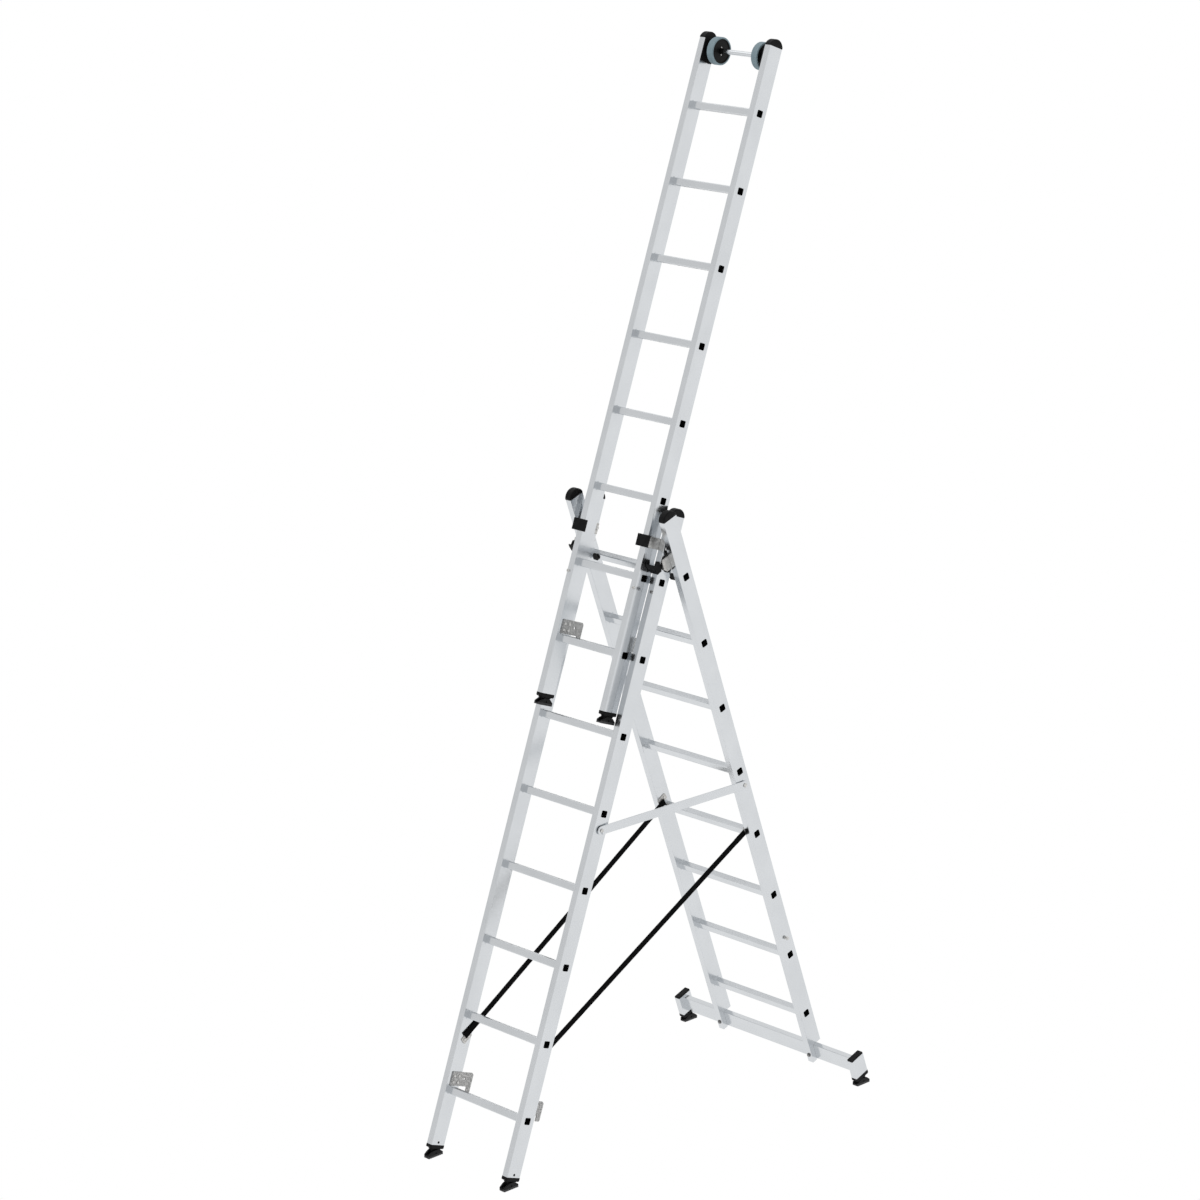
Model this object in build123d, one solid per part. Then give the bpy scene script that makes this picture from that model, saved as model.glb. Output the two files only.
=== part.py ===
"""Three-part combination ladder, opened as an A-frame with its top section run out.

Units are millimetres. X runs along the rungs, Y from the front leg to the rear leg, Z up.
The origin lies on the ground, under the middle of the ladder's box.

Each section is drawn upright in its own frame and then leaned into place. In a section's frame
Z runs up along the stiles, Y points to the back, and z = 0 is the apex, the level where the
centre lines of the front and rear stiles cross.
"""
from build123d import *
import math
import os

# ---- driving dimensions -------------------------------------------------------------------
RUNG_PITCH = 280.0          # standard rung spacing
RUNG_COUNT = 8              # rungs in each section
STILE_WIDTH = 26.0          # stile section, along the rungs
STILE_DEPTH = 65.0          # stile section, front to back
STILE_WALL = 2.0
STILE_CORNER = 1.5
STILE_ABOVE = 240.0         # stile above its first rung
STILE_BELOW = 206.0         # stile below its last rung

REAR_WIDTH = 494.0          # over the stiles
FRONT_WIDTH = 422.0
TOP_WIDTH = 342.0
STABILISER_WIDTH = 930.0

LEAN_FRONT = 19.9           # degrees off the vertical
LEAN_REAR = 20.1
NEST = 52.0                 # from one section's centre plane to the next, when they lie together
EXTENSION = 6 * RUNG_PITCH  # how far the top section is run out

FRONT_RUNG_1 = -133.0       # first rung, below the apex along the stile
REAR_RUNG_1 = -120.0
TOP_RUNG_1 = FRONT_RUNG_1 + EXTENSION

RUNG_SIZE = 26.0
RUNG_WALL = 1.8
RUNG_FLANGE = 32.0
FLANGE_THICKNESS = 2.5
PLUG_PROUD = 2.0

FOOT_DROP = 30.0            # tilting pin below the stile's end
PAD_HEIGHT = 13.0           # tilting pin above the pad's sole
PAD_LENGTH = 69.0
PAD_WIDTH = 28.0
COLLAR_HEIGHT = 13.5
COLLAR_WAIST = 27.0
NECK_WAIST = 19.0
FOOT_PIN_R = 3.0
CROSS_PIN_R = 4.5            # fixes a foot's socket in its stile
CAP_SHOULDER = 5.0
CAP_HEIGHT = 28.0

RUNNING = 0.06              # radial clearance of every pin that turns
FIT = 0.1                   # clearance round pieces that are fixed together

# ---- frames -------------------------------------------------------------------------------
FRONT_END = FRONT_RUNG_1 - (RUNG_COUNT - 1) * RUNG_PITCH - STILE_BELOW
FOOT_LEVEL = FRONT_END - FOOT_DROP
APEX_HEIGHT = PAD_HEIGHT - FOOT_LEVEL * math.cos(math.radians(LEAN_FRONT))
REAR_FOOT_LEVEL = -(APEX_HEIGHT - PAD_HEIGHT) / math.cos(math.radians(LEAN_REAR))
END_TUBE_BOTTOM = REAR_FOOT_LEVEL + FOOT_DROP

front_reach = -FOOT_LEVEL * math.sin(math.radians(LEAN_FRONT))
rear_reach = -REAR_FOOT_LEVEL * math.sin(math.radians(LEAN_REAR))
APEX_Y = (front_reach - rear_reach) / 2

front_frame = Location((0, APEX_Y, APEX_HEIGHT), (-LEAN_FRONT, 0, 0))
rear_frame = Location((0, APEX_Y, APEX_HEIGHT), (LEAN_REAR, 0, 0))
top_frame = front_frame * Location((0, -NEST, 0))

# The fold pivot is where the two sections turn about so that they end parallel, NEST apart,
# with their rungs level.
half_fold = math.radians(LEAN_FRONT + LEAN_REAR) / 2
rung_step = REAR_RUNG_1 - FRONT_RUNG_1
PIVOT_FRONT_Z = -(rung_step / 2 + NEST / 2 / math.tan(half_fold))
PIVOT_FRONT_Y = -(rung_step / 2 / math.tan(half_fold) - NEST / 2)
PIVOT_REAR_Z = PIVOT_FRONT_Z + rung_step
PIVOT_REAR_Y = PIVOT_FRONT_Y - NEST

nodes = {}


def add(name, shapes, frame=None):
    """Keep a node: one solid, or a group of separate solids, moved by its section's frame."""
    solids = []
    for shape in shapes if isinstance(shapes, list) else [shapes]:
        solids += list(shape.solids())
    if frame is not None:
        solids = [solid.moved(frame) for solid in solids]
    nodes[name] = solids


# ---- small shapes -------------------------------------------------------------------------
def block(x0, x1, y0, y1, z0, z1):
    """A box given by its limits."""
    centre = Pos((x0 + x1) / 2, (y0 + y1) / 2, (z0 + z1) / 2)
    return centre * Box(abs(x1 - x0), abs(y1 - y0), abs(z1 - z0))


def rod_x(x0, x1, y, z, radius):
    """A round bar along X."""
    return Pos((x0 + x1) / 2, y, z) * Rot(0, 90, 0) * Cylinder(radius, abs(x1 - x0))


def rod_y(y0, y1, x, z, radius):
    """A round bar along Y."""
    return Pos(x, (y0 + y1) / 2, z) * Rot(90, 0, 0) * Cylinder(radius, abs(y1 - y0))


def domed_head(x0, x1, y, z, radius):
    """A low domed head on the face x0, rising towards x1."""
    rise = 1 if x1 > x0 else -1
    head = rod_x(x0, x1, y, z, radius)
    rim = head.edges().filter_by(GeomType.CIRCLE).sort_by(Axis.X)
    return fillet(rim[-1] if rise > 0 else rim[0], abs(x1 - x0) * 0.7)


def across(x, y=0.0, z=0.0):
    """The plane square to X: its own x runs along Y, its own y along Z."""
    return Plane(origin=(x, y, z), x_dir=(0, 1, 0), z_dir=(1, 0, 0))


def facing(y):
    """The plane square to Y: its own x runs along X, its own y along Z."""
    return Plane(origin=(0, y, 0), x_dir=(1, 0, 0), z_dir=(0, -1, 0))


def plate_x(outline, x0, x1):
    """A plate with the given (y, z) outline between two x positions."""
    face = across(min(x0, x1)) * make_face(Polyline(*outline, close=True))
    return extrude(face, amount=abs(x1 - x0), dir=(1, 0, 0))


def square_bar_x(size, x0, x1, y, z, corner):
    """A bar of rounded square section along X."""
    face = across(min(x0, x1), y, z) * RectangleRounded(size, size, corner)
    return extrude(face, amount=abs(x1 - x0), dir=(1, 0, 0))


def both_sides(make):
    """The left and the right copy of a piece made for the right-hand side."""
    right = make()
    return [mirror(right, about=Plane.YZ), right]


# ---- stiles, rungs, plugs and caps --------------------------------------------------------
def stile_tube(x, z0, z1):
    """A closed box profile with rounded corners, x at its middle."""
    outer = Pos(x, 0, z0) * RectangleRounded(STILE_WIDTH, STILE_DEPTH, STILE_CORNER)
    hollow = RectangleRounded(STILE_WIDTH - 2 * STILE_WALL, STILE_DEPTH - 2 * STILE_WALL, 1.0)
    inner = Pos(x, 0, z0) * hollow
    return extrude(outer - inner, amount=z1 - z0, dir=(0, 0, 1))


def rung_levels(first):
    return [first - RUNG_PITCH * i for i in range(RUNG_COUNT)]


def section_stile(width, first_rung, top, bottom):
    """The right-hand stile with its rung holes, in the section's frame."""
    x = (width - STILE_WIDTH) / 2
    stile = stile_tube(x, bottom, top)
    x0, x1 = x - STILE_WIDTH, x + STILE_WIDTH
    holes = [square_bar_x(RUNG_SIZE + FIT, x0, x1, 0, z, 3.0) for z in rung_levels(first_rung)]
    return stile - holes


def rung(width, z):
    """A square tube with grooved treads, flanged against the stiles' inner faces."""
    half = width / 2
    inner_face = half - STILE_WIDTH
    tube = square_bar_x(RUNG_SIZE, -half, half, 0, z, 3.0)
    for side in (-1, 1):
        edge = side * inner_face
        tube += square_bar_x(RUNG_FLANGE, edge - side * FLANGE_THICKNESS, edge, 0, z, 5.0)
    tube -= square_bar_x(RUNG_SIZE - 2 * RUNG_WALL, -half - 1, half + 1, 0, z, 1.5)
    groove_end = inner_face - FLANGE_THICKNESS - 2
    for y in (-7.5, -2.5, 2.5, 7.5):
        for face in (-1, 1):
            depth = z + face * RUNG_SIZE / 2
            tube -= block(-groove_end, groove_end, y - 1, y + 1, depth - 0.7, depth + 0.7)
    return tube


def rung_plug(width, z):
    """The square end plug of a rung, on the right-hand stile's outer face."""
    half = width / 2
    head = square_bar_x(RUNG_SIZE - 1, half, half + PLUG_PROUD, 0, z, 4.0)
    head = fillet(head.faces().sort_by(Axis.X)[-1].edges(), 1.2)
    inside = RUNG_SIZE - 2 * RUNG_WALL - 2 * FIT
    return head + square_bar_x(inside, half - 14, half, 0, z, 1.4)


def stile_cap(width, top):
    """A domed cap with a plug that fills the stile's end."""
    x = (width - STILE_WIDTH) / 2
    half_w, half_d = STILE_WIDTH / 2 + 1, STILE_DEPTH / 2 + 1
    side = Plane(origin=(x - half_w, 0, 0), x_dir=(0, 1, 0), z_dir=(1, 0, 0))
    shoulder = top + CAP_SHOULDER
    arc = ThreePointArc((-half_d, shoulder), (0, top + CAP_HEIGHT), (half_d, shoulder))
    foot = Polyline((half_d, shoulder), (half_d, top), (-half_d, top), (-half_d, shoulder))
    dome = extrude(side * make_face([arc, foot]), amount=2 * half_w, dir=(1, 0, 0))
    dome = fillet([e for e in dome.edges() if e.center().Z > top + 0.5 and abs(e.center().X - x) > 1], 3.5)
    inside_w = STILE_WIDTH - 2 * STILE_WALL - 2 * FIT
    inside_d = STILE_DEPTH - 2 * STILE_WALL - 2 * FIT
    plug = extrude(Pos(x, 0, top - 16) * RectangleRounded(inside_w, inside_d, 1.8), amount=16, dir=(0, 0, 1))
    return dome + plug


def section(prefix, width, first_rung, frame, bottom=None, change=None, change_right=None):
    """Stiles, rungs, plugs and caps of one section.

    change works on both stiles, and change_right on the right-hand one only.
    """
    top = first_rung + STILE_ABOVE
    if bottom is None:
        bottom = first_rung - (RUNG_COUNT - 1) * RUNG_PITCH - STILE_BELOW
    stile = section_stile(width, first_rung, top, bottom)
    if change is not None:
        stile = change(stile)
    add(prefix + "_stile_left", mirror(stile, about=Plane.YZ), frame)
    if change_right is not None:
        stile = change_right(stile)
    add(prefix + "_stile_right", stile, frame)
    levels = rung_levels(first_rung)
    add(prefix + "_rungs", [rung(width, z) for z in levels], frame)
    add(prefix + "_rung_plugs", [p for z in levels for p in both_sides(lambda: rung_plug(width, z))], frame)
    add(prefix + "_stile_caps", both_sides(lambda: stile_cap(width, top)), frame)


# ---- feet ---------------------------------------------------------------------------------
def foot_socket(x, end, cross_pin=False):
    """Collar under the stile's end, plug inside it and the neck that carries the pad."""
    inside_w = STILE_WIDTH - 2 * STILE_WALL - 2 * FIT
    inside_d = STILE_DEPTH - 2 * STILE_WALL - 2 * FIT
    pin_z = end - FOOT_DROP
    half = STILE_DEPTH / 2 + 1
    low = end - COLLAR_HEIGHT
    plug = extrude(Pos(x, 0, end) * RectangleRounded(inside_w, inside_d, 1.8), amount=24, dir=(0, 0, 1))
    band = [(half, end), (half, end - 10), (COLLAR_WAIST, low)]
    band += [(-y, z) for y, z in reversed(band)]
    collar = plate_x(band, x - PAD_WIDTH / 2, x + PAD_WIDTH / 2)
    upright = [e for e in collar.edges().filter_by(Axis.Z) if abs(e.center().Y) > half - 1]
    collar = fillet(upright, 3.0)
    neck_r = PAD_HEIGHT - 5.5
    flank = [(COLLAR_WAIST, low + 1), (NECK_WAIST, pin_z + 9), (12, pin_z - 1)]
    neck = plate_x(flank + [(-y, z) for y, z in reversed(flank)], x - 7.5, x + 7.5)
    neck += rod_x(x - 7.5, x + 7.5, 0, pin_z, neck_r)
    foot = plug + collar + neck - rod_x(x - 10, x + 10, 0, pin_z, FOOT_PIN_R)
    if cross_pin:
        foot += rod_x(x - STILE_WIDTH / 2 - 0.6, x + STILE_WIDTH / 2 + 0.6, 0, end + 10, CROSS_PIN_R)
    return foot


def foot_pin(x, end):
    """The steel pin that the pad tilts on."""
    return rod_x(x - 13.0, x + 13.0, 0, end - FOOT_DROP, FOOT_PIN_R)


def foot_pad():
    """A pad about its own pin: sole, shoulders, two round cheeks and an open middle for the neck."""
    half = PAD_LENGTH / 2
    sole = -PAD_HEIGHT
    flank = [(half, sole), (half, -3), (19.5, 8.5), (12, 12)]
    outline = [(-y, z) for y, z in flank] + [(y, z) for y, z in reversed(flank)]
    body = plate_x(outline, -PAD_WIDTH / 2, PAD_WIDTH / 2)
    upright = [e for e in body.edges().filter_by(Axis.Z) if abs(e.center().Y) > half - 1]
    body = fillet(upright, 3.0)
    groove = block(PAD_WIDTH / 2 - 0.7, PAD_WIDTH / 2 + 1, -half - 1, half + 1, sole + 8, sole + 9)
    body -= [groove, mirror(groove, about=Plane.YZ)]
    body -= block(-8, 8, -half - 1, half + 1, sole + 5, 20)
    for step in range(-3, 4):
        body -= block(-PAD_WIDTH, PAD_WIDTH, step * 9 - 1.2, step * 9 + 1.2, sole - 1, sole + 1.2)
    return body - rod_x(-PAD_WIDTH, PAD_WIDTH, 0, 0, FOOT_PIN_R + RUNNING)


def feet(prefix, x, end, frame, level, cross_pin=False):
    """Sockets, pins and the two pads of one section; level pads lie flat on the ground."""
    add(prefix + "_foot_sockets", both_sides(lambda: foot_socket(x, end, cross_pin)), frame)
    add(prefix + "_foot_pins", both_sides(lambda: foot_pin(x, end)), frame)
    for side, name in ((-1, "left"), (1, "right")):
        at_pin = frame * Location((side * x, 0, end - FOOT_DROP))
        place = Location(at_pin.position) if level else at_pin
        add(f"{prefix}_{name}_foot_pad", foot_pad(), place)


# ---- hook plates at a section's lowest rung -----------------------------------------------
def hook_outline(rung_z):
    """A plate that reaches back over the next section's rung and down behind it."""
    notch = NEST + RUNG_SIZE / 2 + 2.5
    low, high = rung_z + RUNG_SIZE / 2 + 4, rung_z + 69
    back = NEST + 36
    return [(-17, low), (notch, low), (notch, rung_z - 4), (back - 3, rung_z - 4), (back, rung_z),
            (back, high - 7), (back - 7, high), (-14, high), (-17, high - 3)]


def hook_rivet_places(rung_z):
    return [(y, rung_z + dz) for y in (-6, 17) for dz in (30, 53)]


def hooks(prefix, width, rung_z, frame):
    inner = width / 2 - STILE_WIDTH

    def plate():
        body = plate_x(hook_outline(rung_z), inner - 4, inner)
        body -= rod_x(inner - 9, inner + 5, NEST - 4, rung_z + 44, 4.5)
        return body - [rod_x(inner - 9, inner + 5, y, z, 3 + FIT) for y, z in hook_rivet_places(rung_z)]

    add(prefix + "_hook_plates", both_sides(plate), frame)
    return [rivet(inner - 4, inner + STILE_WALL, y, z) for y, z in hook_rivet_places(rung_z)]


def rivet(face, wall_end, y, z):
    """A rivet seen from the ladder's middle: head inward of face, set in the stile's wall."""
    shank = rod_x(face, wall_end, y, z, 3.0)
    head = domed_head(face, face - 3.2, y, z, 5.4)
    return head + shank + rod_x(wall_end, wall_end + 2, y, z, 4.2)


def drill(stile, rivets_at, inner):
    """Rivet holes through the stile's inner wall."""
    return stile - [rod_x(inner - 1, inner + STILE_WALL + 0.01, y, z, 3 + FIT) for y, z in rivets_at]


# ---- strap anchors and straps -------------------------------------------------------------
STRAP_WIDTH = 25.0
FRONT_STRAP_Z = -1905.0
REAR_STRAP_Z = -1205.0
front_inner = FRONT_WIDTH / 2 - STILE_WIDTH
rear_inner = REAR_WIDTH / 2 - STILE_WIDTH
top_inner = TOP_WIDTH / 2 - STILE_WIDTH


def world_point(frame, x, y, z):
    return (frame * Location((x, y, z))).position


strap_low = world_point(front_frame, front_inner - 6, 0, FRONT_STRAP_Z)
strap_high = world_point(rear_frame, rear_inner - 5, 0, REAR_STRAP_Z)
strap_line = strap_high - strap_low
strap_angle = math.degrees(math.atan2(strap_line.Z, strap_line.Y))


def strap_plate(inner, z, turn):
    """A zinc tab, turned to lie along the strap, flat on the stile's inner face."""
    tab = block(inner - 3, inner, -11, 34, -13, 13)
    tab = fillet(tab.edges().filter_by(Axis.X), 5)
    tab -= rod_x(inner - 9, inner + 5, 0, 0, 3 + FIT)
    return Pos(0, 0, z) * Rot(turn, 0, 0) * tab


def strap():
    """The right-hand strap, a flat band pulled tight between its two tabs."""
    gap = 8.0
    length = strap_line.length - 2 * gap
    middle = strap_low + strap_line * 0.5
    edge = Vector(1, 0, 0).cross(strap_line.normalized())
    band_plane = Plane(origin=middle, x_dir=strap_line.normalized(), z_dir=edge)
    return band_plane.location * Box(length, 2.6, STRAP_WIDTH)


# ---- stabiliser bar and the rear section's lower end --------------------------------------
BAR_TOP = -2228.0
BAR_FRONT, BAR_BACK = -10.0, 12.0
TONGUE_END = -2297.0
REAR_STILE_X = (REAR_WIDTH - STILE_WIDTH) / 2
END_TUBE_X = (STABILISER_WIDTH - STILE_WIDTH) / 2
END_TUBE_TOP = -2221.0
BAR_BOLT_Z = BAR_TOP - STILE_DEPTH / 2 - 3


def stabiliser():
    half = END_TUBE_X - STILE_WIDTH / 2
    depth = BAR_BACK - BAR_FRONT
    middle_y = (BAR_FRONT + BAR_BACK) / 2
    middle = across(-half, middle_y, BAR_TOP - STILE_DEPTH / 2)
    shell = RectangleRounded(depth, STILE_DEPTH, 3.0) - RectangleRounded(depth - 4, STILE_DEPTH - 4, 1.5)
    bar = extrude(middle * shell, amount=2 * half, dir=(1, 0, 0))
    holes = [rod_y(-50, 50, side * REAR_STILE_X, BAR_BOLT_Z, 4 + FIT) for side in (-1, 1)]
    add("stabiliser_bar", bar - holes, rear_frame)
    add("stabiliser_end_tubes", both_sides(lambda: stile_tube(END_TUBE_X, END_TUBE_BOTTOM, END_TUBE_TOP)),
        rear_frame)
    add("stabiliser_end_caps", both_sides(stabiliser_cap), rear_frame)
    add("stabiliser_bolts", both_sides(stabiliser_bolt), rear_frame)


def stabiliser_cap():
    """A flat push-in cap on the end tube."""
    lid = extrude(Pos(END_TUBE_X, 0, END_TUBE_TOP) * RectangleRounded(STILE_WIDTH, STILE_DEPTH, 4.0),
                  amount=6, dir=(0, 0, 1))
    lid = fillet(lid.faces().sort_by(Axis.Z)[-1].edges(), 2.0)
    inside_w = STILE_WIDTH - 2 * STILE_WALL - 2 * FIT
    inside_d = STILE_DEPTH - 2 * STILE_WALL - 2 * FIT
    inside = RectangleRounded(inside_w, inside_d, 1.8)
    return lid + extrude(Pos(END_TUBE_X, 0, END_TUBE_TOP - 14) * inside, amount=14, dir=(0, 0, 1))


def stabiliser_bolt():
    """A hexagon bolt through the stile's tongue and the bar, with its nut behind."""
    x, z, front = REAR_STILE_X, BAR_BOLT_Z, -STILE_DEPTH / 2
    to_y = Rot(90, 0, 0)
    head = Pos(x, front, z) * to_y * extrude(RegularPolygon(6.5, 6), amount=5)
    washer = rod_y(front - 1.2, front, x, z, 8.5)
    nut = Pos(x, BAR_BACK + 6, z) * to_y * extrude(RegularPolygon(6.5, 6), amount=6)
    return head + washer + rod_y(front, BAR_BACK + 8, x, z, 4.0) + nut


def shape_rear_stile(stile):
    """Cut the notch for the stabiliser bar and drill for rivets, strap tab and spreader."""
    x0, x1 = rear_inner - 1, REAR_WIDTH / 2 + 1
    stile -= block(x0, x1, BAR_FRONT - 0.2, STILE_DEPTH, BAR_TOP + 0.2, TONGUE_END - 10)
    stile -= rod_y(-50, 50, REAR_STILE_X, BAR_BOLT_Z, 4 + FIT)
    return drill(stile, hinge_rivet_places + [(0, REAR_STRAP_Z)], rear_inner)


# ---- fold hinge ---------------------------------------------------------------------------
HINGE_PLATE = 4.0
HINGE_PIN_R = 6.0
hinge_rivet_places = [(-20, -32), (14, -32), (-20, -69), (14, -69)]


def hinge_plate():
    """A zinc plate on the rear stile's inner face, reaching forward to the pivot."""
    outline = [(24, -18.5), (-60, -18.5), (-67, -25.5), (-67, -57), (-55, -70), (-37, -70), (-29, -79)]
    outline.append((24, -79))
    plate = plate_x(outline, rear_inner - HINGE_PLATE, rear_inner)
    plate -= rod_x(rear_inner - 9, rear_inner + 1, PIVOT_REAR_Y, PIVOT_REAR_Z, HINGE_PIN_R + RUNNING)
    return plate - [rod_x(rear_inner - 9, rear_inner + 1, y, z, 3 + FIT) for y, z in hinge_rivet_places]


def flush_rivet(y, z):
    """A nearly flush rivet in the hinge plate."""
    face = rear_inner - HINGE_PLATE
    return (domed_head(face, face - 1, y, z, 5.0) + rod_x(face, rear_inner + STILE_WALL, y, z, 3.0)
            + rod_x(rear_inner + STILE_WALL, rear_inner + STILE_WALL + 2, y, z, 4.2))


def hinge_bolt():
    """The pivot: a bolt through the front stile that turns in the hinge plate."""
    shank = rod_x(front_inner, rear_inner - 0.2, PIVOT_FRONT_Y, PIVOT_FRONT_Z, HINGE_PIN_R)
    return shank + domed_head(front_inner, front_inner - 5, PIVOT_FRONT_Y, PIVOT_FRONT_Z, 10.0)


def hinge_spacer():
    """A black washer that keeps the front stile clear of the hinge plate."""
    face = FRONT_WIDTH / 2
    ring = rod_x(face, rear_inner - HINGE_PLATE - 0.3, PIVOT_FRONT_Y, PIVOT_FRONT_Z, 15.0)
    return ring - rod_x(face - 1, face + 20, PIVOT_FRONT_Y, PIVOT_FRONT_Z, HINGE_PIN_R + FIT)


def fold_buffer():
    """A six-sided black pad on the rear top rung, where the front stile comes to rest."""
    z, x = REAR_RUNG_1, 191.0
    face = facing(-RUNG_SIZE / 2) * make_face(Polyline(
        (x - 13, z + 12), (x + 7, z + 13), (x + 14, z + 3), (x + 13, z - 12), (x - 7, z - 13),
        (x - 14, z - 3), close=True))
    return extrude(face, amount=STILE_DEPTH / 2 - RUNG_SIZE / 2 - 13.5, dir=(0, -1, 0))


# ---- guides that hold the top section to the front section --------------------------------
STRAP_LEVEL = -3.0
STOP_SCREW_Z = -172.0
guide_bolt_places = [(24, STRAP_LEVEL + 3), (-18, STRAP_LEVEL - 9)]
TOP_FRONT_FACE = -NEST - STILE_DEPTH / 2


def guide_strap():
    """A zinc strap along the front stile's inner face, turned inward before the top section."""
    back, front = 31.0, TOP_FRONT_FACE - 4
    low, high = STRAP_LEVEL - 20, STRAP_LEVEL + 20
    leg = block(front_inner - 3, front_inner, front - 3, back, low, high)
    turn = block(top_inner - 12, front_inner, front - 3, front, low, high)
    holes = [rod_x(front_inner - 9, front_inner + 1, y, z, 4 + FIT) for y, z in guide_bolt_places]
    return leg + turn - holes


def guide_pad():
    """The black square sleeve on the strap's turned end."""
    front = TOP_FRONT_FACE - 4
    low, high = STRAP_LEVEL - 21.5, STRAP_LEVEL + 21.5
    pad = block(top_inner - 15, front_inner + 5, front - 6, TOP_FRONT_FACE - 1, low, high)
    pad = fillet(pad.edges().filter_by(Axis.Y), 2)
    slot = block(top_inner - 12, front_inner + 9, front - 3, front, STRAP_LEVEL - 20, STRAP_LEVEL + 20)
    side = block(front_inner - 3, front_inner + 9, front - 3, TOP_FRONT_FACE + 5, STRAP_LEVEL - 20,
                 STRAP_LEVEL + 20)
    return pad - slot - side


def guide_bolt(y, z):
    """A round-headed bolt through the strap and the front stile."""
    outer = FRONT_WIDTH / 2
    return (domed_head(front_inner - 3, front_inner - 8, y, z, 7.5)
            + rod_x(front_inner - 3, outer, y, z, 4.0) + domed_head(outer, outer + 3.5, y, z, 7.5))


def side_guide():
    """A black bracket on the front stile's face that keeps the top section centred, with two prongs."""
    inner, outer = TOP_WIDTH / 2 + 3, FRONT_WIDTH / 2 + 2
    face, shelf = -STILE_DEPTH / 2, -80
    body = plate_x([(face, -108), (-57, -92), (-66, shelf - 3), (-64, shelf), (face, shelf)], inner, outer)
    near = plate_x([(-65, shelf - 2), (-66, -76), (-60, -64), (-54, -66), (-50, shelf - 2)], inner, inner + 6)
    far = plate_x([(-55, shelf - 2), (-51, -64), (-40, -62), (face, -72), (face, shelf - 2)], outer - 7, outer)
    flange = plate_x([(face, -70), (-18, -93), (face, -108)], FRONT_WIDTH / 2, outer)
    return body + near + far + flange


def stop_screw(width):
    """A screw in a stile's narrow front face, near its outer corner."""
    x, face = width / 2 - 7, -STILE_DEPTH / 2
    head = fillet(rod_y(face - 5, face, x, STOP_SCREW_Z, 6.0).edges().sort_by(Axis.Y)[0], 1.0)
    head -= rod_y(face - 6, face - 2.5, x, STOP_SCREW_Z, 2.6)
    return head + rod_y(face, face + STILE_WALL + 6, x, STOP_SCREW_Z, 2.5)


def stop_screw_hole(width):
    return rod_y(-STILE_DEPTH, -STILE_DEPTH / 2 + 10, width / 2 - 7, STOP_SCREW_Z, 2.5 + FIT)


def shape_top_stile(stile):
    """Drill the top stile for its hook rivets and its stop screw."""
    return drill(stile, hook_rivet_places(top_rung_8), top_inner) - stop_screw_hole(TOP_WIDTH)


def shape_front_stile(stile):
    """Drill the front stile for its bolts, rivets, tab, foot pin and spreader stud."""
    inner, outer = front_inner - 1, FRONT_WIDTH / 2 + 1
    stile -= rod_x(inner, outer, PIVOT_FRONT_Y, PIVOT_FRONT_Z, HINGE_PIN_R + FIT)
    stile -= [rod_x(inner, outer, y, z, 4 + FIT) for y, z in guide_bolt_places]
    stile -= rod_x(inner, outer, 0, FRONT_END + 10, CROSS_PIN_R + FIT)
    stile -= stop_screw_hole(FRONT_WIDTH)
    return drill(stile, [(0, FRONT_STRAP_Z)] + hook_rivet_places(front_rung_8), front_inner)


def drill_outer(face, levels):
    """A cut for the studs in a stile's outer wall."""
    return lambda stile: stile - [rod_x(face - 5, face + 1, 0, z, STUD_R + 3 * FIT) for z in levels]


# ---- spreader bar, on the right-hand side only --------------------------------------------
STUD_R = 4.0
BAR_THICKNESS = 5.0
BAR_DEPTH = 32.0
SPREADER_FRONT_Z = -1031.0
SPREADER_REAR_Z = -1019.0
rear_outer = REAR_WIDTH / 2
front_outer = FRONT_WIDTH / 2
bar_root = world_point(rear_frame, rear_outer + 3, 0, SPREADER_REAR_Z)
bar_tip = world_point(front_frame, front_outer + 3.4, 0, SPREADER_FRONT_Z)
bar_length = (bar_tip - bar_root).length
bar_out = (bar_tip - bar_root).normalized()
rear_down = world_point(rear_frame, 0, 0, -1) - world_point(rear_frame, 0, 0, 0)
PARK_Z = SPREADER_REAR_Z - bar_length

# The bar swings from bar_out to rear_down. Its axis makes equal angles with both, which takes
# a small tilt off X: the play of the rivet.
swing = bar_out - rear_down
tilt = -swing.X / (swing.Y ** 2 + swing.Z ** 2)
bar_axis = Vector(1, tilt * swing.Y, tilt * swing.Z).normalized()


def spreader_bar():
    """A flat bar with round ends, a pivot hole and an open notch over the stud."""
    up = (Vector(1, 0, 0).cross(bar_out)).normalized()
    up = up if up.Z > 0 else up * -1
    face = Plane(origin=bar_root, x_dir=bar_out, z_dir=bar_out.cross(up))
    outward = face.z_dir.X > 0
    rounded = RectangleRounded(bar_length + BAR_DEPTH, BAR_DEPTH, BAR_DEPTH / 2 - 0.01)
    outline = Pos(bar_length / 2, 0) * rounded
    below = -1 if face.y_dir.Z > 0 else 1
    notch = Pos(bar_length, 0) * Circle(STUD_R + 0.4)
    notch += Pos(bar_length, below * BAR_DEPTH / 2) * Rectangle(2 * STUD_R + 0.8, BAR_DEPTH)
    bar = extrude(face * (outline - notch), amount=BAR_THICKNESS if outward else -BAR_THICKNESS)
    bar = chamfer([e for e in bar.edges() if e.length > bar_length * 0.9], 0.8)
    hole = Plane(origin=bar_root, z_dir=bar_axis).location * Cylinder(STUD_R + RUNNING, 40)
    return bar - hole


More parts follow.
